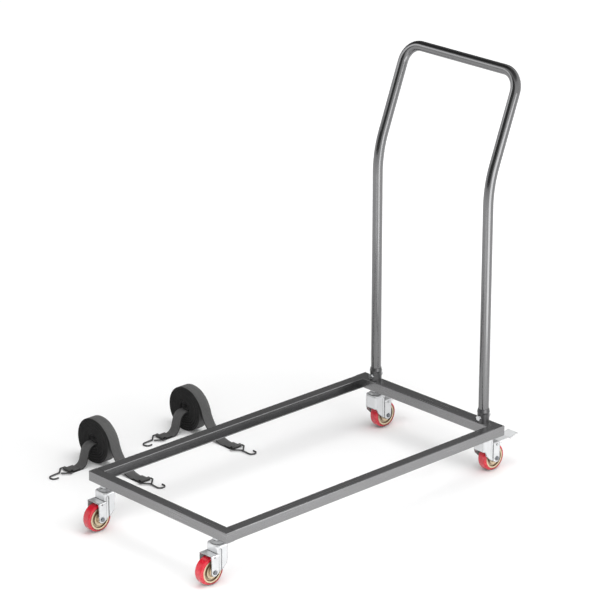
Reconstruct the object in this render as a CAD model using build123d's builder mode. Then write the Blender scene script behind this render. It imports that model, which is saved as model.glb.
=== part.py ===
"""Folding chair cart: open base frame on four swivel casters, bent push handle, two rolled straps.

Millimetres, +Z up, +X to the cart's right, +Y to its rear, where the handle stands.
The origin is on the floor, midway between the front wheels' treads and the back of the handle.
"""

import os
from math import atan2, cos, degrees, hypot, radians, sin, sqrt, tan

from build123d import *

os.makedirs("parts", exist_ok=True)

# Base frame
frame_length = 1000.0
frame_width = 530.0
rail_size = 28.0
rear_rail_depth = 38.0
tube_wall = 2.0
channel_wall = 2.5
rail_edge_radius = 2.0
end_plate_thickness = 2.5
frame_bottom = 119.0

# Push handle
handle_tube = 28.0
handle_wall = 1.8
upright_inset = 60.0
bend_height = 662.0
bend_radius = 300.0
handle_lean = 21.2
crossbar_height = 946.0
corner_radius = 52.0

# Handle sockets and their through-bolts
socket_wall = 2.0
socket_flare = 1.0
collar_height = 29.0
flare_height = 5.0
cone_height = 9.0
cone_rim = 0.8
socket_fit = 0.05
bolt_diameter = 8.0
bolt_hole_clearance = 0.2
bolt_head_flats = 13.0
bolt_head_height = 5.5
dome_nut_height = 7.0

# Casters
front_caster_inset = 48.0
rear_caster_inset = 58.0
caster_trail = 30.0
stem_diameter = 12.0
stem_length = 20.0
stem_nut_flats = 19.0
stem_nut_height = 10.0
collar_flats = 22.0
stem_collar_height = 6.5
king_pin_diameter = 16.0
rivet_diameter = 22.0
rivet_height = 4.0
race_diameter = 38.0
race_top_diameter = 25.0
race_rim = 0.8
swivel_gap = 0.3
running_gap = 0.06
seat_gap = 0.05

# Forks
fork_width = 46.0
fork_thickness = 2.5
fork_bend = 5.0
hood_top = 106.0
hood_front = 20.0
hood_lead = 18.0
hood_corner = 9.0
hood_edge = 6.0
hood_bottom = 52.5
front_wall_bottom = 66.0
front_wall_depth = 4.0
guard_top = 84.0
axle_boss_radius = 11.0
leg_skirt = 26.0
leg_skirt_height = 40.0
groove_width = 9.0
groove_depth = 1.5
groove_offset = 11.5
groove_top = 97.0

# Wheels
wheel_diameter = 75.0
tyre_width = 28.0
tyre_depth = 7.0
tyre_shoulder = 6.0
rim_width = 26.0
rim_depth = 4.5
web_width = 18.0
hub_step_diameter = 37.0
hub_step_width = 27.0
hub_diameter = 23.0
hub_width = 40.0
bush_diameter = 12.0
axle_diameter = 6.0
axle_head_flats = 10.0
axle_head_height = 3.4
axle_nut_height = 5.0
axle_overhang = 2.0

# Brakes of the rear casters
pivot_height = 78.2
pivot_diameter = 3.6
pivot_head_diameter = 6.5
pivot_head_height = 1.4
eye_diameter = 6.2
lever_thickness = 3.0
lever_width = 26.0
lever_flat = 16.0
pedal_start = 56.0
pedal_rise = 0.8
pedal_length = 30.0
pedal_tilt = 6.0
pedal_width = 36.0
lever_bend_radius = 6.0
shoe_start = 12.0
shoe_end = 28.0
brake_angle = 12.0
brake_clearance = 0.5

# Rolled straps
strap_width = 34.0
strap_thickness = 3.0
strap_pitch = 3.6
strap_turns = 12
roll_hole_radius = 19.5
fold_radius = 10.0
fold_length = 14.0
roll_distance = 295.0
roll_spacing = 330.0
roll_setback = 272.59
outer_tail_radius = 75.0
outer_tail_turn = 75.0
sewn_length = 28.0
inner_tail_run = 4.0
inner_tail_radius = 25.0
inner_tail_turn = 75.0

# Wire hooks on the strap ends
wire_diameter = 4.5
wire_room = 0.3
eye_half_width = 21.0
eye_side = 10.0
eye_length = 27.0
eye_corner_radius = 3.6
neck_half_gap = 2.9
neck_radius = 5.0
hook_length = 66.0
hook_bend_radius = 10.5
hook_return = 17.0

# Levels and places worked out from the sizes above
rail_top = frame_bottom + rail_size
rail_middle = frame_bottom + rail_size / 2
rail_depth = {"front": rail_size, "rear": rear_rail_depth}
rail_row = {end: (frame_length - depth) / 2 for end, depth in rail_depth.items()}
crossbar_setback = (crossbar_height - bend_height) * tan(radians(handle_lean))
front_reach = rail_row["front"] + caster_trail + wheel_diameter / 2
rear_reach = rail_row["rear"] + crossbar_setback + handle_tube / 2
frame_y = (front_reach - rear_reach) / 2
rear_rail_y = frame_y + rail_row["rear"]
tube_inside = rail_size - 2 * tube_wall
caster_x = {
    "front": frame_width / 2 - front_caster_inset,
    "rear": frame_width / 2 - rear_caster_inset,
}
axle_height = wheel_diameter / 2
hood_underside = hood_top - fork_thickness
guard_underside = guard_top - fork_thickness
hood_depth = hood_front + hood_lead
fork_inside = fork_width - 2 * fork_thickness
stem_collar_bottom = frame_bottom - stem_collar_height
handle_radius = handle_tube / 2
bolt_radius = bolt_diameter / 2
bolt_hole_radius = bolt_radius + bolt_hole_clearance
axle_radius = axle_diameter / 2
upright_x = frame_width / 2 - upright_inset
upright_spacing = 2 * upright_x
roll_x = -frame_width / 2 - roll_distance
first_roll_y = frame_y - frame_length / 2 + roll_setback
sides = (("left", -1), ("right", 1))
ends = (("front", -1), ("rear", 1))


# Front and rear rails: tubes across the whole width, holed below for the caster stems
for end, way in ends:
    rail_y = frame_y + way * rail_row[end]
    with BuildPart() as cross_rail:
        with BuildSketch(Plane.YZ.offset(-frame_width / 2)):
            with Locations((rail_y, rail_middle)):
                RectangleRounded(rail_depth[end], rail_size, rail_edge_radius)
                Rectangle(rail_depth[end] - 2 * tube_wall, tube_inside, mode=Mode.SUBTRACT)
        extrude(amount=frame_width)
        with Locations((0, rail_y, frame_bottom)), GridLocations(2 * caster_x[end], 1, 2, 1):
            Cylinder(
                stem_diameter / 2 + bolt_hole_clearance,
                3 * tube_wall,
                mode=Mode.SUBTRACT,
            )
    cross_rail.part.label = f"{end}_rail"
    export_step(cross_rail.part, f"parts/{end}_rail.step")

# Side rails: channels between the cross rails, open towards the middle of the cart
side_front_y = frame_y - frame_length / 2 + rail_size
side_length = frame_length - rail_size - rear_rail_depth
for side, hand in sides:
    with BuildPart() as side_rail:
        with BuildSketch(Plane.XZ.offset(-side_front_y)):
            with Locations((hand * (frame_width - rail_size) / 2, rail_middle)):
                Rectangle(rail_size, rail_size)
            with Locations((hand * (frame_width - rail_size - 2 * channel_wall) / 2, rail_middle)):
                Rectangle(rail_size, rail_size - 2 * channel_wall, mode=Mode.SUBTRACT)
        extrude(amount=-side_length)
        outer_edges = side_rail.edges().filter_by(Axis.Y).group_by(Axis.X)[0 if hand < 0 else -1]
        fillet(outer_edges, rail_edge_radius)
    side_rail.part.label = f"{side}_rail"
    export_step(side_rail.part, f"parts/{side}_rail.step")

# Plates welded into the four open tube ends
with BuildPart() as rail_end_plates:
    plate_x = (frame_width - end_plate_thickness) / 2
    for end, way in ends:
        with Locations((0, frame_y + way * rail_row[end], rail_middle)):
            with GridLocations(2 * plate_x, 1, 2, 1):
                Box(end_plate_thickness, rail_depth[end] - 2 * tube_wall, tube_inside)
rail_end_plates.part.label = "rail_end_plates"
export_step(rail_end_plates.part, "parts/rail_end_plates.step")

# Nuts welded inside the tubes, which take the caster stems
with BuildPart() as caster_nuts:
    for end, way in ends:
        with BuildSketch(Plane((0, frame_y + way * rail_row[end], frame_bottom + tube_wall))):
            with GridLocations(2 * caster_x[end], 1, 2, 1):
                RegularPolygon(stem_nut_flats / 2, 6, major_radius=False)
                Circle(stem_diameter / 2 + seat_gap, mode=Mode.SUBTRACT)
        extrude(amount=stem_nut_height)
caster_nuts.part.label = "caster_nuts"
export_step(caster_nuts.part, "parts/caster_nuts.step")

# Handle sockets: flared collars on the rear rail
socket_bore = handle_radius + socket_fit
socket_radius = socket_bore + socket_wall
socket_bolt_height = rail_top + collar_height / 2
for side, hand in sides:
    socket_base = (hand * upright_x, rear_rail_y, rail_top)
    with BuildPart() as socket:
        with BuildSketch(Plane(socket_base, x_dir=(1, 0, 0), z_dir=(0, -1, 0))):
            with BuildLine():
                Polyline(
                    (socket_bore, 0),
                    (socket_radius, 0),
                    (socket_radius, collar_height - flare_height),
                    (socket_radius + socket_flare, collar_height),
                    (socket_bore + cone_rim, collar_height + cone_height),
                    (socket_bore, collar_height + cone_height),
                    close=True,
                )
            make_face()
        revolve(axis=Axis(socket_base, (0, 0, 1)))
        with Locations(Location((hand * upright_x, rear_rail_y, socket_bolt_height), (90, 0, 0))):
            Cylinder(bolt_hole_radius, 3 * socket_radius, mode=Mode.SUBTRACT)
    socket.part.label = f"{side}_socket"
    export_step(socket.part, f"parts/{side}_socket.step")

# Push handle: one tube, upright in the sockets, leaning back above the bend, round into the crossbar
handle_points = (
    (-upright_x, rear_rail_y, rail_top),
    (-upright_x, rear_rail_y, rail_top + bend_height),
    (-upright_x, rear_rail_y + crossbar_setback, rail_top + crossbar_height),
    (upright_x, rear_rail_y + crossbar_setback, rail_top + crossbar_height),
    (upright_x, rear_rail_y, rail_top + bend_height),
    (upright_x, rear_rail_y, rail_top),
)
with BuildPart() as push_handle:
    with BuildLine() as handle_path:
        FilletPolyline(
            *handle_points, radius=(bend_radius, corner_radius, corner_radius, bend_radius)
        )
    with BuildSketch(Plane(handle_points[0])):
        Circle(handle_radius)
        Circle(handle_radius - handle_wall, mode=Mode.SUBTRACT)
    sweep(path=handle_path.wires()[0])
    for hand in (-1, 1):
        with Locations(Location((hand * upright_x, rear_rail_y, socket_bolt_height), (90, 0, 0))):
            Cylinder(bolt_hole_radius, 3 * handle_radius, mode=Mode.SUBTRACT)
push_handle.part.label = "push_handle"
export_step(push_handle.part, "parts/push_handle.step")

# Bolts through sockets and handle: hex heads in front, threads ending in the domed nuts behind
bolt_plane = Plane((0, rear_rail_y, socket_bolt_height), x_dir=(1, 0, 0), z_dir=(0, -1, 0))
with BuildPart() as socket_bolts:
    with BuildSketch(bolt_plane.offset(socket_radius)):
        with GridLocations(upright_spacing, 1, 2, 1):
            RegularPolygon(bolt_head_flats / 2, 6, major_radius=False)
    extrude(amount=bolt_head_height)
    with BuildSketch(bolt_plane.offset(-socket_radius - dome_nut_height / 2)):
        with GridLocations(upright_spacing, 1, 2, 1):
            Circle(bolt_radius)
    extrude(amount=2 * socket_radius + dome_nut_height / 2)
socket_bolts.part.label = "socket_bolts"
export_step(socket_bolts.part, "parts/socket_bolts.step")

with BuildPart() as socket_nuts:
    with BuildSketch(bolt_plane.offset(-socket_radius)):
        with GridLocations(upright_spacing, 1, 2, 1):
            RegularPolygon(bolt_head_flats / 2, 6, major_radius=False)
            Circle(bolt_radius + seat_gap, mode=Mode.SUBTRACT)
    extrude(amount=-dome_nut_height / 2 - seat_gap)
    with BuildSketch(bolt_plane.offset(-socket_radius - dome_nut_height / 2 - seat_gap)):
        with GridLocations(upright_spacing, 1, 2, 1):
            Circle(bolt_head_flats / 2)
    extrude(amount=-dome_nut_height, taper=35)
socket_nuts.part.label = "socket_nuts"
export_step(socket_nuts.part, "parts/socket_nuts.step")


# Casters: the front ones trail forward, the rear ones trail back and carry brakes
rim_radius = wheel_diameter / 2 - tyre_depth
hub_bore = bush_diameter / 2 + running_gap
for end, way in ends:
    stem_y = frame_y + way * rail_row[end]
    wheel_y = stem_y + way * caster_trail
    for side, hand in sides:
        corner = f"{end}_{side}"
        stem_x = hand * caster_x[end]
        stem_axis = Axis((stem_x, stem_y, 0), (0, 0, 1))
        # Looking at the front, with X across and Z up
        front_plane = Plane((stem_x, stem_y, 0), x_dir=(1, 0, 0), z_dir=(0, -1, 0))
        # Looking at the side, with the trailing direction across and Z up
        side_plane = Plane((stem_x, stem_y, 0), x_dir=(0, way, 0), z_dir=(way, 0, 0))
        # Across the axle, with radius upwards
        axle_plane = Plane((stem_x, wheel_y, axle_height), x_dir=(1, 0, 0), z_dir=(0, -1, 0))
        axle_axis = Axis((stem_x, wheel_y, axle_height), (1, 0, 0))
        axle_place = Location((stem_x, wheel_y, axle_height), (0, 90, 0))
        pivot_place = Location((stem_x, wheel_y, pivot_height), (0, 90, 0))

        # Stem: thread, hex collar, king pin and the rivet head that holds the fork up
        rivet_top = hood_underside - swivel_gap
        with BuildPart() as stem:
            with BuildSketch(Plane((stem_x, stem_y, stem_collar_bottom))):
                RegularPolygon(collar_flats / 2, 6, major_radius=False)
            extrude(amount=stem_collar_height)
            with BuildSketch(Plane((stem_x, stem_y, frame_bottom))):
                Circle(stem_diameter / 2)
            extrude(amount=stem_length)
            with BuildSketch(Plane((stem_x, stem_y, rivet_top - rivet_height))):
                Circle(king_pin_diameter / 2)
            extrude(amount=stem_collar_bottom - rivet_top + rivet_height)
            with BuildSketch(Plane((stem_x, stem_y, rivet_top - rivet_height))):
                Circle(rivet_diameter / 2)
            extrude(amount=rivet_height)
        stem.part.label = f"{corner}_stem"
        export_step(stem.part, f"parts/{corner}_stem.step")

        # Bearing cover: a low cone between the collar and the fork
        race_bottom = hood_top + swivel_gap
        race_bore = king_pin_diameter / 2 + seat_gap
        with BuildPart() as race:
            with BuildSketch(front_plane):
                with BuildLine():
                    Polyline(
                        (race_bore, race_bottom),
                        (race_diameter / 2, race_bottom),
                        (race_diameter / 2, race_bottom + race_rim),
                        (race_top_diameter / 2, stem_collar_bottom),
                        (race_bore, stem_collar_bottom),
                        close=True,
                    )
                make_face()
            revolve(axis=stem_axis)
        race.part.label = f"{corner}_race"
        export_step(race.part, f"parts/{corner}_race.step")

        # Fork: a drawn hood round the king pin, a lower guard over the wheel, legs to the axle
        hood_y = stem_y + way * (hood_front - hood_lead) / 2
        with BuildPart() as hood:
            with BuildSketch(Plane((stem_x, hood_y, hood_bottom))):
                RectangleRounded(fork_width, hood_depth, hood_corner)
            extrude(amount=hood_top - hood_bottom)
            fillet(hood.faces().sort_by(Axis.Z)[-1].edges(), hood_edge)
        with BuildPart() as fork:
            with BuildSketch(front_plane):
                Rectangle(fork_width, guard_top, align=(Align.CENTER, Align.MIN))
                fillet(vertices().group_by(Axis.Y)[-1], fork_bend)
                Rectangle(
                    fork_inside,
                    guard_underside,
                    align=(Align.CENTER, Align.MIN),
                    mode=Mode.SUBTRACT,
                )
            extrude(amount=guard_top, both=True)
            with BuildSketch(side_plane):
                with BuildLine():
                    CenterArc((caster_trail, axle_height), axle_boss_radius, 0, 360)
                    Polyline(
                        (caster_trail - leg_skirt, leg_skirt_height),
                        (hood_corner - hood_lead, hood_bottom),
                        (hood_corner - hood_lead, guard_top),
                        (caster_trail + axle_boss_radius, guard_top),
                    )
                make_hull()
            extrude(amount=fork_width, both=True, mode=Mode.INTERSECT)
            add(hood.part)
            with BuildSketch(Plane((stem_x, hood_y, axle_height))):
                RectangleRounded(
                    fork_inside, hood_depth - 2 * fork_thickness, hood_corner - fork_thickness
                )
            extrude(amount=hood_underside - axle_height, mode=Mode.SUBTRACT)
            # The hood is open below the guard, where the wheel turns
            with BuildSketch(side_plane):
                with Locations((hood_front, axle_height)):
                    Rectangle(
                        2 * hood_corner,
                        guard_underside - axle_height,
                        align=(Align.CENTER, Align.MIN),
                    )
            extrude(amount=fork_inside / 2, both=True, mode=Mode.SUBTRACT)
            # The hood's front wall ends higher up than the legs
            leg_front = hood_corner - hood_lead
            with BuildSketch(side_plane):
                with BuildLine():
                    Polyline(
                        (-hood_lead, axle_height),
                        (-hood_lead, front_wall_bottom),
                        (front_wall_depth - hood_lead, front_wall_bottom),
                        (leg_front, hood_bottom),
                        (leg_front, axle_height),
                        close=True,
                    )
                make_face()
            extrude(amount=fork_width, both=True, mode=Mode.SUBTRACT)
            # A pressed groove down each leg, open at its lower end
            for leg in (-1, 1):
                groove_place = (
                    stem_x + leg * fork_width / 2,
                    stem_y + way * groove_offset,
                    groove_top / 2,
                )
                with BuildSketch(Plane(groove_place, x_dir=(0, 0, 1), z_dir=(leg, 0, 0))):
                    SlotOverall(groove_top, groove_width)
                extrude(amount=-groove_depth, taper=25, mode=Mode.SUBTRACT)
            with Locations((stem_x, stem_y, hood_top)):
                Cylinder(
                    king_pin_diameter / 2 + running_gap, 4 * fork_thickness, mode=Mode.SUBTRACT
                )
            with Locations(axle_place):
                Cylinder(axle_radius + seat_gap, 2 * fork_width, mode=Mode.SUBTRACT)
            with Locations(pivot_place):
                Cylinder(pivot_diameter / 2 + seat_gap, 2 * fork_width, mode=Mode.SUBTRACT)
        fork.part.label = f"{corner}_fork"
        export_step(fork.part, f"parts/{corner}_fork.step")

        # Spacer tube clamped between the fork legs, on which the wheel turns
        with BuildPart() as bush:
            with BuildSketch(Plane(axle_axis.position, x_dir=(0, 1, 0), z_dir=(1, 0, 0))):
                Circle(bush_diameter / 2)
                Circle(axle_radius + seat_gap, mode=Mode.SUBTRACT)
            extrude(amount=fork_inside / 2, both=True)
        bush.part.label = f"{corner}_bush"
        export_step(bush.part, f"parts/{corner}_bush.step")

        # Axle bolt with its head on the right, and its nut on the left
        axle_end = Plane(axle_axis.position, x_dir=(0, 1, 0), z_dir=(1, 0, 0))
        with BuildPart() as axle_bolt:
            with BuildSketch(axle_end.offset(fork_width / 2)):
                RegularPolygon(axle_head_flats / 2, 6, major_radius=False)
            extrude(amount=axle_head_height)
            with BuildSketch(axle_end.offset(-fork_width / 2 - axle_nut_height - axle_overhang)):
                Circle(axle_radius)
            extrude(amount=fork_width + axle_nut_height + axle_overhang)
        axle_bolt.part.label = f"{corner}_axle_bolt"
        export_step(axle_bolt.part, f"parts/{corner}_axle_bolt.step")

        with BuildPart() as axle_nut:
            with BuildSketch(axle_end.offset(-fork_width / 2)):
                RegularPolygon(axle_head_flats / 2, 6, major_radius=False)
                Circle(axle_radius + seat_gap, mode=Mode.SUBTRACT)
            extrude(amount=-axle_nut_height)
        axle_nut.part.label = f"{corner}_axle_nut"
        export_step(axle_nut.part, f"parts/{corner}_axle_nut.step")

        # Wheel core: rim, recessed web, stepped hub
        half_profile = (
            (hub_width / 2, hub_bore),
            (hub_width / 2, hub_diameter / 2),
            (hub_step_width / 2, hub_diameter / 2),
            (hub_step_width / 2, hub_step_diameter / 2),
            (web_width / 2, hub_step_diameter / 2),
            (web_width / 2, rim_radius - rim_depth),
            (rim_width / 2, rim_radius - rim_depth),
            (rim_width / 2, rim_radius),
        )
        with BuildPart() as wheel_core:
            with BuildSketch(axle_plane):
                with BuildLine():
                    Polyline(
                        *half_profile,
                        *[(-across, radius) for across, radius in reversed(half_profile)],
                        close=True,
                    )
                make_face()
            revolve(axis=axle_axis)
        wheel_core.part.label = f"{corner}_wheel_core"
        export_step(wheel_core.part, f"parts/{corner}_wheel_core.step")

        # Tyre: a band with rounded shoulders
        with BuildPart() as tyre:
            with BuildSketch(axle_plane):
                with Locations((0, rim_radius + seat_gap)):
                    Rectangle(
                        tyre_width,
                        tyre_depth - seat_gap,
                        align=(Align.CENTER, Align.MIN),
                    )
                fillet(vertices().group_by(Axis.Y)[-1], tyre_shoulder)
            revolve(axis=axle_axis)
        tyre.part.label = f"{corner}_tyre"
        export_step(tyre.part, f"parts/{corner}_tyre.step")

        if end == "front":
            continue

        # Brake pin through both fork legs
        with BuildPart() as brake_pin:
            pin_end = Plane((stem_x, wheel_y, pivot_height), x_dir=(0, 1, 0), z_dir=(1, 0, 0))
            with BuildSketch(pin_end):
                Circle(pivot_diameter / 2)
            extrude(amount=fork_width / 2, both=True)
            for leg in (-1, 1):
                with BuildSketch(pin_end.offset(leg * fork_width / 2)):
                    Circle(pivot_head_diameter / 2)
                extrude(amount=leg * pivot_head_height)
        brake_pin.part.label = f"{corner}_brake_pin"
        export_step(brake_pin.part, f"parts/{corner}_brake_pin.step")

        # Brake lever: eye on the pin, arm over the tyre, shoe below it, wide pedal at the end.
        # The shoe's curve is the tread's, as the lever meets it when it is pressed down.
        turn = radians(brake_angle)
        pivot_drop = pivot_height - axle_height
        tread_centre = (
            caster_trail + pivot_drop * sin(turn),
            pivot_height - pivot_drop * cos(turn),
        )
        arm_points = (
            (caster_trail, pivot_height),
            (caster_trail + lever_flat, pivot_height),
            (caster_trail + pedal_start, pivot_height + pedal_rise),
            (caster_trail + pedal_start + pedal_length, pivot_height + pedal_rise + pedal_tilt),
        )
        arm_slope = pedal_rise / (pedal_start - lever_flat)
        with BuildPart() as brake_lever:
            with BuildSketch(side_plane):
                with BuildLine():
                    FilletPolyline(*arm_points, radius=lever_bend_radius)
                trace(line_width=lever_thickness)
                with BuildLine():
                    Polyline(
                        (caster_trail + shoe_start, pivot_height),
                        (caster_trail + lever_flat, pivot_height),
                        (
                            caster_trail + shoe_end,
                            pivot_height + (shoe_end - lever_flat) * arm_slope,
                        ),
                        (caster_trail + shoe_end, axle_height),
                        (caster_trail + shoe_start, axle_height),
                        close=True,
                    )
                make_face()
                with Locations(tread_centre):
                    Circle(wheel_diameter / 2 + brake_clearance, mode=Mode.SUBTRACT)
                with Locations((caster_trail, pivot_height)):
                    Circle(eye_diameter / 2)
                    Circle(pivot_diameter / 2 + running_gap, mode=Mode.SUBTRACT)
            extrude(amount=lever_width / 2, both=True)
            with BuildSketch(side_plane):
                with BuildLine():
                    Line(arm_points[2], arm_points[3])
                trace(line_width=lever_thickness)
            extrude(amount=pedal_width / 2, both=True)
        brake_lever.part.label = f"{corner}_brake_lever"
        export_step(brake_lever.part, f"parts/{corner}_brake_lever.step")


# Rolled straps: one band, wound clockwise as seen from the front, standing on the floor.
# Half turns alternate between two centres, so that the winding grows by a steady pitch.
half_strap = strap_thickness / 2
half_turns = 2 * strap_turns
first_turn_radius = roll_hole_radius + half_strap
turn_radii = [first_turn_radius + count * strap_pitch / 2 for count in range(half_turns)]
roll_middle = turn_radii[half_turns - 2] + half_strap
turn_middles = [roll_middle + (count % 2) * strap_pitch / 2 for count in range(half_turns)]
roll_top = turn_middles[-1] + turn_radii[-1]
fold_level = roll_middle + first_turn_radius - 2 * fold_radius
tail_drop_angle = radians(outer_tail_turn)
tail_middle = roll_top - outer_tail_radius
bend_x = outer_tail_radius * sin(tail_drop_angle)
bend_z = tail_middle + outer_tail_radius * cos(tail_drop_angle)
landing_radius = (bend_z - half_strap) / (1 - cos(tail_drop_angle))
landing_x = bend_x + landing_radius * sin(tail_drop_angle)
landing_middle = half_strap + landing_radius
loop_bore = wire_diameter / 2 + wire_room
loop_radius = loop_bore + strap_thickness
outer_loop_x = landing_x + sewn_length + loop_bore


def band_side(offset):
    """One face of the band, from the fold in the hole to the sewn end: offset is outwards."""
    Line((fold_length, fold_level - offset), (0, fold_level - offset))
    CenterArc((0, fold_level + fold_radius), fold_radius + offset, 270, -180)
    for count in range(half_turns):
        start_angle = 90 - 180 * (count % 2)
        CenterArc((0, turn_middles[count]), turn_radii[count] + offset, start_angle, -180)
    CenterArc((0, tail_middle), outer_tail_radius + offset, 90, -outer_tail_turn)
    CenterArc((landing_x, landing_middle), landing_radius - offset, 270 - outer_tail_turn, outer_tail_turn)
    Line((landing_x, half_strap + offset), (landing_x + sewn_length, half_strap + offset))


# Least gap between neighbouring turns, measured on points along the band's two faces
outer_points = []
inner_points = []
for count in range(half_turns):
    for step in range(37):
        angle = radians(90 - 180 * (count % 2) - 5 * step)
        for points, radius in (
            (outer_points, turn_radii[count] + half_strap),
            (inner_points, turn_radii[count] - half_strap),
        ):
            points.append((radius * cos(angle), turn_middles[count] + radius * sin(angle), count))
least_gap = min(
    hypot(outer[0] - inner[0], outer[1] - inner[1])
    for outer in outer_points
    for inner in inner_points
    if inner[2] >= outer[2] + 1 and (inner[2] > outer[2] + 1 or outer[0] * inner[0] < 0)
)
print(f"least gap between the strap's turns: {least_gap:.2f} mm")

# Inner tail: out of the hole to the front, down in two bends, along the floor to its sewn loop
tail_level = fold_level - strap_thickness
inner_turn = radians(inner_tail_turn)
tail_bend_drop = 2 * inner_tail_radius * (1 - cos(inner_turn))
tail_slope = (tail_level - half_strap - tail_bend_drop) / sin(inner_turn)
tail_corner = inner_tail_radius * tan(inner_turn / 2)
tail_bend_start = strap_width / 2 + inner_tail_run
tail_landing = tail_bend_start + 2 * inner_tail_radius * sin(inner_turn) + tail_slope * cos(inner_turn)
inner_loop_y = tail_landing + sewn_length + loop_bore
tail_points = (
    (-strap_width / 2, tail_level),
    (tail_bend_start + tail_corner, tail_level),
    (tail_landing - tail_corner, half_strap),
    (tail_landing + sewn_length, half_strap),
)
hook_tilt = atan2(loop_radius - wire_diameter / 2, hook_length)
hook_points = (
    (-neck_half_gap, eye_length),
    (-eye_half_width, eye_side),
    (-eye_half_width, 0),
    (eye_half_width, 0),
    (eye_half_width, eye_side),
    (neck_half_gap, eye_length),
    (neck_half_gap, hook_length),
    (neck_half_gap - 2.2 * hook_bend_radius, hook_length),
    (neck_half_gap - 2.2 * hook_bend_radius, hook_length - hook_return),
)
hook_radii = (
    eye_corner_radius,
    eye_corner_radius,
    eye_corner_radius,
    eye_corner_radius,
    neck_radius,
    hook_bend_radius,
    hook_bend_radius,
)
for count, name in enumerate(("first", "second")):
    roll_y = first_roll_y + count * roll_spacing
    with BuildPart() as strap_roll:
        with BuildSketch(Plane((roll_x, roll_y, 0), x_dir=(1, 0, 0), z_dir=(0, -1, 0))):
            with BuildLine():
                band_side(half_strap)
                band_side(-half_strap)
                Line((fold_length, fold_level - half_strap), (fold_length, fold_level + half_strap))
                Line((landing_x + sewn_length, 0), (landing_x + sewn_length, strap_thickness))
            make_face()
            with Locations((landing_x + sewn_length / 2, strap_thickness)):
                Rectangle(sewn_length, strap_thickness, align=(Align.CENTER, Align.MIN))
            with Locations((outer_loop_x, loop_radius)):
                Circle(loop_radius)
                Circle(loop_bore, mode=Mode.SUBTRACT)
        extrude(amount=strap_width / 2, both=True)
    strap_roll.part.label = f"{name}_strap_roll"
    export_step(strap_roll.part, f"parts/{name}_strap_roll.step")

    with BuildPart() as strap_tail:
        with BuildSketch(Plane((roll_x, roll_y, 0), x_dir=(0, -1, 0), z_dir=(-1, 0, 0))):
            with BuildLine():
                FilletPolyline(*tail_points, radius=inner_tail_radius)
            trace(line_width=strap_thickness)
            with Locations((tail_landing + sewn_length / 2, strap_thickness)):
                Rectangle(sewn_length, strap_thickness, align=(Align.CENTER, Align.MIN))
            with Locations((inner_loop_y, loop_radius)):
                Circle(loop_radius)
                Circle(loop_bore, mode=Mode.SUBTRACT)
        extrude(amount=strap_width / 2, both=True)
    strap_tail.part.label = f"{name}_strap_tail"
    export_step(strap_tail.part, f"parts/{name}_strap_tail.step")

    # Hooks: an eye through the sewn loop, then a hook that leans down to the floor
    outer_hook_plane = Plane(
        (roll_x + outer_loop_x, roll_y, loop_radius),
        x_dir=(0, -1, 0),
        z_dir=(sin(hook_tilt), 0, cos(hook_tilt)),
    )
    inner_hook_plane = Plane(
        (roll_x, roll_y - inner_loop_y, loop_radius),
        x_dir=(-1, 0, 0),
        z_dir=(0, -sin(hook_tilt), cos(hook_tilt)),
    )
    for place, hook_plane in (("outer", outer_hook_plane), ("inner", inner_hook_plane)):
        with BuildPart() as hook:
            with BuildLine(hook_plane) as hook_path:
                FilletPolyline(*hook_points, radius=hook_radii)
            hook_wire = hook_path.wires()[0]
            with BuildSketch(Plane(hook_wire @ 0, z_dir=hook_wire % 0)):
                Circle(wire_diameter / 2)
            sweep(path=hook_wire)
        hook.part.label = f"{name}_{place}_hook"
        export_step(hook.part, f"parts/{name}_{place}_hook.step")

strap_length = (
    fold_length
    + radians(180) * (fold_radius + sum(turn_radii))
    + tail_drop_angle * (outer_tail_radius + landing_radius)
    + sewn_length
    + strap_width
    + inner_tail_run
    + 2 * inner_turn * inner_tail_radius
    + tail_slope
    + sewn_length
)
print(f"strap length from loop to loop: {strap_length:.0f} mm")
print(f"origin offset of the frame: {frame_y:.2f} mm, rail top {rail_top:.1f} mm")
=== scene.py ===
"""Folding chair cart: looks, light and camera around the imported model. Metres, +Z up."""

from math import atan2, cos, hypot, pi, radians, sin

import bpy
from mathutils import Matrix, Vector


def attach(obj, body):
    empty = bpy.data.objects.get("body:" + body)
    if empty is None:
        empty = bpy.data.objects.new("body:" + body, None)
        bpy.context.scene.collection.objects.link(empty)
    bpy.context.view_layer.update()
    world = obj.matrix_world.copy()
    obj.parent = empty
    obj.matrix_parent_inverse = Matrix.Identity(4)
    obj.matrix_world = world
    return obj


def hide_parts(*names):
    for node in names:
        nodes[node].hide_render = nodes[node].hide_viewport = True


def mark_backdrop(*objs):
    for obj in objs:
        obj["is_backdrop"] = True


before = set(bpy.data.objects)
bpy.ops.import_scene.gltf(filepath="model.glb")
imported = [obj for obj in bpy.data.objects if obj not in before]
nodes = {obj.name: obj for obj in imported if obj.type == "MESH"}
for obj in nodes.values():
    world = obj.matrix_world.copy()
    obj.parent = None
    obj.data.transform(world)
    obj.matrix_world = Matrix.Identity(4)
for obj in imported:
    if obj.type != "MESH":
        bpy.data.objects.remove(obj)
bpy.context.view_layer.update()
scene = bpy.context.scene
corners = ("front_left", "front_right", "rear_left", "rear_right")


# Materials

# Painted shade in hollows and painted dark reflection lines along sharp edges: the levels where each starts
# and ends.
painted_shade_levels = (0.45, 0.85)
edge_reflection_levels = (0.90, 0.998)
tone_stops = (0.3, 0.7)
# Colours that multiply the tone for the painted shade in hollows and the painted dark edge reflections.
plating_hollow_shade = (0.12, 0.125, 0.125)
plating_edge_shade = (0.10, 0.105, 0.105)
moulding_hollow_shade = (0.16, 0.11, 0.08)
webbing_hollow_shade = (0.15, 0.15, 0.15)


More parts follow.
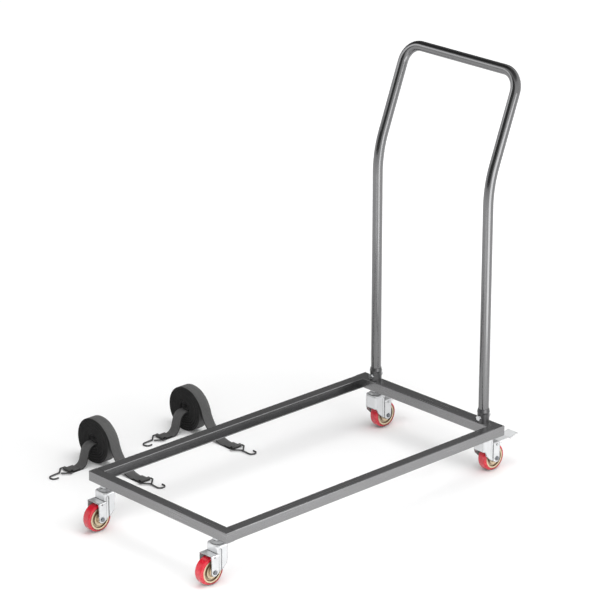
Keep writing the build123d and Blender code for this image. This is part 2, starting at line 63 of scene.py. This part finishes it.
class Nodes:
    """A material's node tree, with short calls for the nodes that the materials share."""

    def __init__(self, name):
        self.material = bpy.data.materials.new(name)
        self.material.use_nodes = True
        self.tree = self.material.node_tree
        self.shader = self.tree.nodes["Principled BSDF"]

    def add(self, kind, **inputs):
        node = self.tree.nodes.new(kind)
        for key, value in inputs.items():
            node.inputs[key.replace("_", " ")].default_value = value
        return node

    def link(self, source, target):
        self.tree.links.new(source, target)

    def coordinates(self, scale=(1, 1, 1), source="Object"):
        place = self.add("ShaderNodeTexCoord")
        mapping = self.add("ShaderNodeMapping")
        mapping.inputs["Scale"].default_value = scale
        self.link(place.outputs[source], mapping.inputs["Vector"])
        return mapping.outputs["Vector"]

    def noise(self, vector, scale, detail=4.0, roughness=0.55):
        node = self.add("ShaderNodeTexNoise", Scale=scale, Detail=detail, Roughness=roughness)
        self.link(vector, node.inputs["Vector"])
        return node.outputs["Fac"]

    def ramp(self, factor, stops):
        node = self.add("ShaderNodeValToRGB")
        elements = node.color_ramp.elements
        while len(elements) < len(stops):
            elements.new(0.5)
        for element, (position, colour) in zip(elements, stops):
            element.position = position
            element.color = (*colour, 1.0)
        self.link(factor, node.inputs["Fac"])
        return node.outputs["Color"]

    def spread(self, factor, low, high):
        node = self.add("ShaderNodeMapRange")
        node.inputs["To Min"].default_value = low
        node.inputs["To Max"].default_value = high
        self.link(factor, node.inputs["Value"])
        return node.outputs["Result"]

    def math(self, operation, first, second):
        node = self.add("ShaderNodeMath")
        node.operation = operation
        for socket, value in zip(node.inputs, (first, second)):
            if isinstance(value, (int, float)):
                socket.default_value = value
            else:
                self.link(value, socket)
        return node.outputs["Value"]

    def shaded(self, tone, factor, levels, shade):
        """The tone, multiplied by shade up to the first level of the factor, unchanged from the second."""
        mix = self.add("ShaderNodeMix")
        mix.data_type = "RGBA"
        mix.blend_type = "MULTIPLY"
        mix.inputs[0].default_value = 1.0
        self.link(tone, mix.inputs[6])
        multiplier = self.ramp(factor, tuple(zip(levels, (shade, (1.0, 1.0, 1.0)))))
        self.link(multiplier, mix.inputs[7])
        return mix.outputs[2]

    def paint_hollow_shade(self, tone, reach, shade):
        """The tone with painted shade: darker where the surface lies deep in a corner or groove."""
        depth = self.add("ShaderNodeAmbientOcclusion", Distance=reach)
        depth.samples = 8
        return self.shaded(tone, depth.outputs["AO"], painted_shade_levels, shade)

    def edges(self, tone, reach, shade):
        """The tone with painted dark reflection lines: darker within reach of a sharp edge."""
        rounded = self.add("ShaderNodeBevel", Radius=reach)
        rounded.samples = 6
        match = self.add("ShaderNodeVectorMath")
        match.operation = "DOT_PRODUCT"
        self.link(rounded.outputs["Normal"], match.inputs[0])
        geometry = self.add("ShaderNodeNewGeometry")
        self.link(geometry.outputs["Normal"], match.inputs[1])
        return self.shaded(tone, match.outputs["Value"], edge_reflection_levels, shade)

    def bump(self, height, strength, distance, rounding=0.0):
        """A surface pushed in and out by height, with its sharp edges softened by rounding."""
        node = self.add("ShaderNodeBump", Strength=strength, Distance=distance)
        self.link(height, node.inputs["Height"])
        if rounding:
            edge = self.add("ShaderNodeBevel", Radius=rounding)
            edge.samples = 4
            self.link(edge.outputs["Normal"], node.inputs["Normal"])
        self.link(node.outputs["Normal"], self.shader.inputs["Normal"])

    def set(self, **values):
        for key, value in values.items():
            self.shader.inputs[key.replace("_", " ")].default_value = value


def frame_metal(name, stretch, tones, rough, metallic):
    """Dark metallic paint with a faint grain along the piece: stretch is small along it."""
    made = Nodes(name)
    grain = made.noise(made.coordinates(stretch), 260.0, 3.0, 0.6)
    cloud = made.noise(made.coordinates(), 3.5, 3.0)
    grain_share = made.math("MULTIPLY", grain, 0.45)
    cloud_share = made.math("MULTIPLY", cloud, 0.55)
    tone = made.math("ADD", grain_share, cloud_share)
    made.link(made.ramp(tone, tuple(zip(tone_stops, tones))), made.shader.inputs["Base Color"])
    made.link(made.spread(tone, *rough), made.shader.inputs["Roughness"])
    made.set(Metallic=metallic, Specular_IOR_Level=0.5)
    made.bump(grain, 0.06, 0.0006)
    return made.material


def plated(name, colour, rough, rounding=0.0, painted_shade_reach=0.0, edge=0.0, metallic=1.0):
    """Bright plating, faintly cloudy and scratched, with painted shade near corners and painted dark
    reflection lines near sharp edges.
    """
    made = Nodes(name)
    cloud = made.noise(made.coordinates(), 45.0, 4.0)
    scratch = made.noise(made.coordinates((1.0, 14.0, 14.0)), 110.0, 2.0)
    darker = tuple(0.9 * part for part in colour)
    tone = made.ramp(cloud, tuple(zip(tone_stops, (darker, colour))))
    if painted_shade_reach:
        tone = made.paint_hollow_shade(tone, painted_shade_reach, plating_hollow_shade)
    if edge:
        tone = made.edges(tone, edge, plating_edge_shade)
    made.link(tone, made.shader.inputs["Base Color"])
    made.link(made.spread(scratch, rough * 0.75, rough * 1.35), made.shader.inputs["Roughness"])
    made.set(Metallic=metallic)
    made.bump(cloud, 0.05, 0.0004, rounding)
    return made.material


def moulded(name, tones, rough, coat, rounding, painted_shade_reach):
    """Moulded plastic or polyurethane with faint flow marks, and painted shade near corners and in grooves.
    """
    made = Nodes(name)
    flow = made.noise(made.coordinates(), 60.0, 5.0)
    fine = made.noise(made.coordinates(), 900.0, 2.0)
    tone = made.ramp(flow, tuple(zip(tone_stops, tones)))
    made.link(made.paint_hollow_shade(tone, painted_shade_reach, moulding_hollow_shade), made.shader.inputs["Base Color"])
    made.link(made.spread(flow, rough * 0.8, rough * 1.25), made.shader.inputs["Roughness"])
    made.set(Coat_Weight=coat, Coat_Roughness=0.12)
    made.bump(fine, 0.08, 0.0003, rounding)
    return made.material


def webbing(name, tones, painted_shade_reach, sheen, specular):
    """Woven strap: ribs across the band and a fine weave along it, and painted shade in gaps and hollows."""
    made = Nodes(name)
    along = made.coordinates(source="UV")
    rib = made.add("ShaderNodeTexWave", Scale=95.0, Distortion=0.6, Detail=1.0)
    rib.bands_direction = "X"
    made.link(along, rib.inputs["Vector"])
    cross = made.add("ShaderNodeTexWave", Scale=150.0, Distortion=0.3)
    cross.bands_direction = "Y"
    made.link(along, cross.inputs["Vector"])
    weave = made.math("MULTIPLY", rib.outputs["Fac"], cross.outputs["Fac"])
    fuzz = made.noise(made.coordinates(), 420.0, 3.0)
    cloud = made.noise(made.coordinates(), 25.0, 3.0)
    weave_share = made.math("MULTIPLY", weave, 0.45)
    fuzz_share = made.math("MULTIPLY", fuzz, 0.3)
    cloud_share = made.math("MULTIPLY", cloud, 0.25)
    mixed = made.math("ADD", weave_share, made.math("ADD", fuzz_share, cloud_share))
    tone = made.ramp(mixed, tuple(zip((0.2, 0.8), tones)))
    made.link(made.paint_hollow_shade(tone, painted_shade_reach, webbing_hollow_shade), made.shader.inputs["Base Color"])
    made.set(Roughness=0.78, Sheen_Weight=sheen, Sheen_Roughness=0.5, Specular_IOR_Level=specular)
    relief = made.math("ADD", weave, made.math("MULTIPLY", fuzz, 0.4))
    made.bump(relief, 0.5, 0.0005)
    return made.material


rail_tones = ((0.222, 0.222, 0.225), (0.268, 0.268, 0.271))
tube_tones = ((0.175, 0.175, 0.178), (0.195, 0.195, 0.198))
socket_tones = ((0.085, 0.085, 0.087), (0.105, 0.105, 0.107))
tyre_tones = ((0.51, 0.008, 0.022), (0.59, 0.012, 0.031))
core_tones = ((0.60, 0.48, 0.31), (0.68, 0.56, 0.38))
weave_tones = ((0.050, 0.050, 0.050), (0.120, 0.119, 0.118))
# The band's side faces take a darker copy of the webbing tone: painted shade for the gaps between the wound
# turns.
shaded_edge_tones = ((0.022, 0.022, 0.022), (0.046, 0.046, 0.046))
along_x = frame_metal("frame_metal_x", (0.02, 1.0, 1.0), rail_tones, rough=(0.20, 0.32), metallic=0.86)
along_y = frame_metal("frame_metal_y", (1.0, 0.02, 1.0), rail_tones, rough=(0.20, 0.32), metallic=0.86)
tube_paint = frame_metal("tube_paint", (1.0, 1.0, 1.0), tube_tones, rough=(0.14, 0.20), metallic=0.95)
socket_paint = frame_metal("socket_paint", (1.0, 1.0, 1.0), socket_tones, rough=(0.26, 0.34), metallic=0.8)
# Fork and lever plating carry painted dark reflection lines along sharp edges; fork and zinc plating carry
# painted shade in hollows.
fork_plate = plated(
    "fork_plating", (0.70, 0.71, 0.72), rough=0.14, rounding=0.0007, painted_shade_reach=0.004, edge=0.0022, metallic=0.58
)
lever_plate = plated(
    "lever_plating", (0.86, 0.87, 0.88), rough=0.20, rounding=0.0007, edge=0.0012, metallic=0.3
)
zinc_plate = plated("zinc_plating", (0.62, 0.63, 0.64), rough=0.24, rounding=0.0005, painted_shade_reach=0.006)
bolt_steel = plated("bolt_steel", (0.24, 0.25, 0.27), rough=0.30, rounding=0.0005)
wire_steel = plated("wire_steel", (0.13, 0.13, 0.132), rough=0.34)
tyre_red = moulded("tyre_red", tyre_tones, rough=0.26, coat=0.60, rounding=0.006, painted_shade_reach=0.008)
core_cream = moulded("core_cream", core_tones, rough=0.38, coat=0.15, rounding=0.0006, painted_shade_reach=0.014)
strap_weave = webbing("strap_weave", weave_tones, painted_shade_reach=0.030, sheen=0.12, specular=0.5)
strap_edge_shaded = webbing("strap_edge_shaded", shaded_edge_tones, painted_shade_reach=0.003, sheen=0.0, specular=0.1)


def wear(node, material):
    made = nodes[node]
    made.data.materials.clear()
    made.data.materials.append(material)


for node in ("front_rail", "rear_rail"):
    wear(node, along_x)
for node in ("left_rail", "right_rail", "rail_end_plates"):
    wear(node, along_y)
wear("push_handle", tube_paint)
for node in ("left_socket", "right_socket"):
    wear(node, socket_paint)
for node in ("caster_nuts", "socket_bolts", "socket_nuts"):
    wear(node, zinc_plate)
for corner in corners:
    for piece, material in (
        ("stem", zinc_plate),
        ("race", fork_plate),
        ("fork", fork_plate),
        ("axle_bolt", bolt_steel),
        ("axle_nut", zinc_plate),
        ("bush", zinc_plate),
        ("wheel_core", core_cream),
        ("tyre", tyre_red),
    ):
        wear(f"{corner}_{piece}", material)
    if corner.startswith("rear"):
        wear(f"{corner}_brake_lever", lever_plate)
        wear(f"{corner}_brake_pin", fork_plate)
for name in ("first", "second"):
    for piece in ("outer_hook", "inner_hook"):
        wear(f"{name}_{piece}", wire_steel)


# Straps: one woven band each, wound as in the solids, and the tail from the middle of the roll

width = 0.034
thick = 0.003
pitch = 0.0036
turns = 12
roll_x = -0.560
roll_ys = {"first": -0.253238, "second": 0.076762}
half = thick / 2
half_turns = 2 * turns
hole_radius = 0.0195
radii = [hole_radius + half + count * pitch / 2 for count in range(half_turns)]
middle = radii[half_turns - 2] + half
fold_radius = 0.010
fold_length = 0.014
fold_level = middle + radii[0] - 2 * fold_radius
roll_top = middle + pitch / 2 + radii[-1]
tail_degrees = 75
tail_turn = radians(tail_degrees)
tail_radius = 0.075
bend_x = tail_radius * sin(tail_turn)
bend_z = roll_top - tail_radius + tail_radius * cos(tail_turn)
landing_radius = (bend_z - half) / (1 - cos(tail_turn))
landing_x = bend_x + landing_radius * sin(tail_turn)
sewn = 0.028
sewn_back = 0.0125
sewn_short = 0.0015
sewn_level = 1.5 * thick
loop_sweep = 235
loop_pull = 0.011
sewn_pull = 0.012
loop_bore = 0.00255
loop_radius = loop_bore + thick
inner_radius = 0.025
tail_level = fold_level - thick
slope = (tail_level - half - 2 * inner_radius * (1 - cos(tail_turn))) / sin(tail_turn)
tail_clear = 0.004
tail_start = width / 2 + tail_clear
tail_landing = tail_start + 2 * inner_radius * sin(tail_turn) + slope * cos(tail_turn)


def arc(centre, radius, start, sweep, steps):
    """Points round a centre, from a start angle through a sweep, both in degrees."""
    return [
        (centre[0] + radius * cos(radians(start + sweep * step / steps)),
         centre[1] + radius * sin(radians(start + sweep * step / steps)))
        for step in range(steps + 1)
    ]


def joined(*runs):
    """The runs of points as one path, without doubled points."""
    points = []
    for run in runs:
        for point in run:
            if not points or hypot(point[0] - points[-1][0], point[1] - points[-1][1]) > 1e-5:
                points.append(point)
    return points


def straight(start, end, steps):
    return [
        (start[0] + (end[0] - start[0]) * step / steps, start[1] + (end[1] - start[1]) * step / steps)
        for step in range(steps + 1)
    ]


def sewn_end(landing):
    """From the floor round the hook's bar and back over itself, to the band's cut end."""
    bar = landing + sewn + loop_bore
    lower = straight((landing, half), (bar, half), 14)
    loop = arc((bar, loop_radius), loop_bore + half, -90, loop_sweep, 22)
    start = loop[-1]
    angle = radians(loop_sweep - 90)
    heading = (-sin(angle), cos(angle))
    flat = (bar - sewn_back, sewn_level)
    back = []
    for step in range(1, 11):
        t = step / 10
        from_start = 2 * t**3 - 3 * t**2 + 1
        out_of_start = (t**3 - 2 * t**2 + t) * loop_pull
        to_flat = -2 * t**3 + 3 * t**2
        into_flat = (t**3 - t**2) * sewn_pull
        back.append((
            from_start * start[0] + out_of_start * heading[0] + to_flat * flat[0] - into_flat,
            from_start * start[1] + out_of_start * heading[1] + to_flat * flat[1],
        ))
    upper = straight(flat, (landing + sewn_short, sewn_level), 8)
    return joined(lower, loop, back, upper)


def turn_of(point):
    """How many turns out from the hole a point of the roll lies."""
    reach = hypot(point[0], point[1] - middle)
    turn = (reach - radii[0]) / pitch - atan2(point[0], point[1] - middle) / (2 * pi)
    return turn if reach < radii[-1] + pitch else 0.0


roll_path = joined(
    straight((fold_length, fold_level), (0.0, fold_level), 4),
    arc((0.0, fold_level + fold_radius), fold_radius, 270, -180, 16),
    *[
        arc((0.0, middle + (count % 2) * pitch / 2), radii[count], 90 if count % 2 == 0 else 270, -180,
            20 + count // 2)
        for count in range(half_turns)
    ],
    arc((0.0, roll_top - tail_radius), tail_radius, 90, -tail_degrees, 14),
    arc((landing_x, half + landing_radius), landing_radius, 270 - tail_degrees, tail_degrees, 16),
    sewn_end(landing_x),
)
tail_path = joined(
    straight((-width / 2, tail_level), (tail_start, tail_level), 6),
    arc((tail_start, tail_level - inner_radius), inner_radius, 90, -tail_degrees, 12),
    arc((tail_landing, half + inner_radius), inner_radius, 270 - tail_degrees, tail_degrees, 12),
    sewn_end(tail_landing),
)


def band(name, path, place, weave, edge, wound):
    """A closed woven band along a path: place(across, along, up) gives its points.

    The band drifts a little sideways along its length, and a wound one from turn to turn too.
    """
    chamfer = 0.0008
    section = [
        (-width / 2, -half + chamfer), (-width / 2 + chamfer, -half),
        (-width / 6, -half), (width / 6, -half),
        (width / 2 - chamfer, -half), (width / 2, -half + chamfer),
        (width / 2, half - chamfer), (width / 2 - chamfer, half),
        (width / 6, half), (-width / 6, half),
        (-width / 2 + chamfer, half), (-width / 2, half - chamfer),
    ]
    vertices = []
    runs = []
    run = 0.0
    for count, point in enumerate(path):
        before = path[max(count - 1, 0)]
        after = path[min(count + 1, len(path) - 1)]
        length = hypot(after[0] - before[0], after[1] - before[1])
        normal = (-(after[1] - before[1]) / length, (after[0] - before[0]) / length)
        if count:
            run += hypot(point[0] - before[0], point[1] - before[1])
        runs.append(run)
        drift = 0.0004 * sin(run * 19.0) + 0.0003 * sin(run * 47.0 + 1.3)
        if wound:
            drift += 0.0007 * sin(pi * turn_of(point))
        for across, off in section:
            vertices.append(place(across + drift, point[0] + normal[0] * off, point[1] + normal[1] * off))
    size = len(section)
    edge_sides = ({4, 5}, {5, 6}, {6, 7}, {10, 11}, {11, 0}, {0, 1})
    faces = []
    for ring in range(len(path) - 1):
        for side in range(size):
            nxt = (side + 1) % size
            near = ring * size
            far = near + size
            faces.append((near + side, near + nxt, far + nxt, far + side))
    faces.append(tuple(reversed(range(size))))
    last = (len(path) - 1) * size
    faces.append(tuple(range(last, last + size)))
    mesh = bpy.data.meshes.new(name)
    mesh.from_pydata(vertices, [], faces)
    mesh.update()
    uv = mesh.uv_layers.new(name="UVMap")
    around = [0.0]
    for first, second in zip(section, section[1:] + section[:1]):
        around.append(around[-1] + hypot(second[0] - first[0], second[1] - first[1]))
    for polygon in mesh.polygons:
        sides = [mesh.loops[loop].vertex_index % size for loop in polygon.loop_indices]
        wraps = 0 in sides and size - 1 in sides and len(sides) == 4
        for loop in polygon.loop_indices:
            index = mesh.loops[loop].vertex_index
            side = index % size
            uv.data[loop].uv = (runs[index // size], around[size if wraps and side == 0 else side])
    made = bpy.data.objects.new(name, mesh)
    scene.collection.objects.link(made)
    bpy.context.view_layer.objects.active = made
    made.select_set(True)
    bpy.ops.object.mode_set(mode="EDIT")
    bpy.ops.mesh.select_all(action="SELECT")
    bpy.ops.mesh.normals_make_consistent(inside=False)
    bpy.ops.object.mode_set(mode="OBJECT")
    bpy.ops.object.shade_smooth_by_angle(angle=radians(50))
    made.select_set(False)
    mesh.materials.append(weave)
    mesh.materials.append(edge)
    # Side faces and ends take the darker copy of the webbing, which is painted shade.
    for polygon in mesh.polygons:
        sides = {index % size for index in polygon.vertices}
        polygon.material_index = 1 if len(polygon.vertices) > 4 or sides in edge_sides else 0
    return made


for name, roll_y in roll_ys.items():
    def in_roll(across, along, up):
        return (roll_x + along, roll_y + across, up)

    def in_tail(across, along, up):
        return (roll_x + across, roll_y - along, up)

    roll = band(f"{name}_webbing", roll_path, in_roll, strap_weave, strap_edge_shaded, wound=True)
    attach(roll, f"{name}_strap")
    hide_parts(f"{name}_strap_roll")
    tail = band(f"{name}_webbing_tail", tail_path, in_tail, strap_weave, strap_edge_shaded, wound=False)
    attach(tail, f"{name}_strap")
    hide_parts(f"{name}_strap_tail")


# Floor, light and camera

floor_half = 40.0
glow_start = 0.5
glow_end = 2.4
glow_strength = 0.55


def plane(name, half_size):
    """A level square at the origin, as part of the stage."""
    places = [(x * half_size, y * half_size, 0.0) for x, y in ((-1, -1), (1, -1), (1, 1), (-1, 1))]
    mesh = bpy.data.meshes.new(name)
    mesh.from_pydata(places, [], [(0, 1, 2, 3)])
    made = bpy.data.objects.new(name, mesh)
    scene.collection.objects.link(made)
    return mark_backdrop(made) or made


floor = plane("floor", floor_half)
floor_look = Nodes("floor_pale")
floor_look.set(Base_Color=(0.93, 0.93, 0.93, 1.0), Roughness=0.9, Specular_IOR_Level=0.0)
floor_look.set(Emission_Color=(1.0, 1.0, 1.0, 1.0))
distance_out = floor_look.add("ShaderNodeVectorMath")
distance_out.operation = "LENGTH"
floor_look.link(floor_look.coordinates(), distance_out.inputs[0])
fade = floor_look.add("ShaderNodeMapRange")
fade.interpolation_type = "SMOOTHSTEP"
fade.inputs["From Min"].default_value = glow_start
fade.inputs["From Max"].default_value = glow_end
fade.inputs["To Max"].default_value = glow_strength
floor_look.link(distance_out.outputs["Value"], fade.inputs["Value"])
floor_look.link(fade.outputs["Result"], floor_look.shader.inputs["Emission Strength"])
floor.data.materials.append(floor_look.material)

# World: bright low down, darker overhead, in front, up to the left and on the far side
world = bpy.data.worlds.new("studio")
scene.world = world
world.use_nodes = True
sky = world.node_tree
direction = sky.nodes.new("ShaderNodeTexCoord").outputs["Generated"]


def sky_levels(axis, levels):
    """Grey levels by how far a direction of the sky points along an axis."""
    along = sky.nodes.new("ShaderNodeVectorMath")
    along.operation = "DOT_PRODUCT"
    along.inputs[1].default_value = axis
    sky.links.new(direction, along.inputs[0])
    shade = sky.nodes.new("ShaderNodeValToRGB")
    stops = shade.color_ramp.elements
    while len(stops) < len(levels):
        stops.new(0.5)
    for stop, (position, value) in zip(stops, levels):
        stop.position = position
        stop.color = (value, value, value, 1.0)
    sky.links.new(along.outputs["Value"], shade.inputs["Fac"])
    return shade.outputs["Color"]


def dimmed(first, second):
    """One part of the sky multiplied by another."""
    mix = sky.nodes.new("ShaderNodeMix")
    mix.data_type = "RGBA"
    mix.blend_type = "MULTIPLY"
    mix.inputs[0].default_value = 1.0
    sky.links.new(first, mix.inputs[6])
    sky.links.new(second, mix.inputs[7])
    return mix.outputs[2]


overhead = sky_levels((0.0, 0.0, 1.0), ((0.0, 1.0), (0.50, 1.0), (0.74, 0.85), (0.88, 0.20), (1.0, 0.10)))
front_side = sky_levels((-0.05, -0.98, 0.19), ((0.0, 1.0), (0.74, 1.0), (0.87, 0.10), (1.0, 0.06)))
left_side = sky_levels((-0.68, 0.0, 0.73), ((0.0, 1.0), (0.82, 1.0), (0.92, 0.06), (1.0, 0.04)))
far_side = sky_levels((-0.73, 0.68, 0.0), ((0.0, 1.0), (0.76, 1.0), (0.88, 0.12), (1.0, 0.08)))
dark_sides = dimmed(dimmed(front_side, left_side), far_side)
sky.links.new(dimmed(overhead, dark_sides), sky.nodes["Background"].inputs["Color"])


def softbox(name, place, target, size, power, mirrored):
    """A rectangular lamp of a width and a height that faces a target and isn't in the picture itself.

    One that isn't mirrored doesn't show in glossy surfaces either.
    """
    data = bpy.data.lights.new(name, "AREA")
    data.shape = "RECTANGLE"
    data.size, data.size_y = size
    data.energy = power
    made = bpy.data.objects.new(name, data)
    made.location = place
    made.rotation_euler = (Vector(target) - Vector(place)).to_track_quat("-Z", "Y").to_euler()
    made.visible_camera = False
    made.visible_glossy = mirrored
    scene.collection.objects.link(made)


softbox(
    "right", place=(1.20, 0.27, 0.55), target=(0.2, 0.45, 0.55), size=(0.80, 1.10), power=7.0, mirrored=True
)
softbox(
    "front", place=(0.72, -1.40, 0.55), target=(0.26, -0.5, 0.13), size=(1.1, 0.8), power=9.0, mirrored=False
)
softbox(
    "left", place=(-0.95, -0.35, 1.50), target=(0.0, 0.55, 1.10), size=(0.9, 0.5), power=1.8, mirrored=True
)
softbox(
    "top", place=(0.35, 0.2, 3.8), target=(0.0, 0.0, 0.0), size=(2.7, 3.4), power=95.0, mirrored=False
)

azimuth = radians(46.70)
elevation = radians(20.49)
distance = 7.908
target = Vector((-0.0011, -0.0258, 0.5609))
camera_data = bpy.data.cameras.new("camera")
camera_data.sensor_fit = "HORIZONTAL"
camera_data.sensor_width = 36.0
camera_data.lens = 184.0
camera_data.clip_end = 200.0
camera = bpy.data.objects.new("camera", camera_data)
camera.location = target + distance * Vector(
    (cos(elevation) * sin(azimuth), -cos(elevation) * cos(azimuth), sin(elevation))
)
camera.rotation_euler = (target - camera.location).to_track_quat("-Z", "Y").to_euler()
scene.collection.objects.link(camera)
scene.camera = camera
scene.view_settings.view_transform = "Standard"
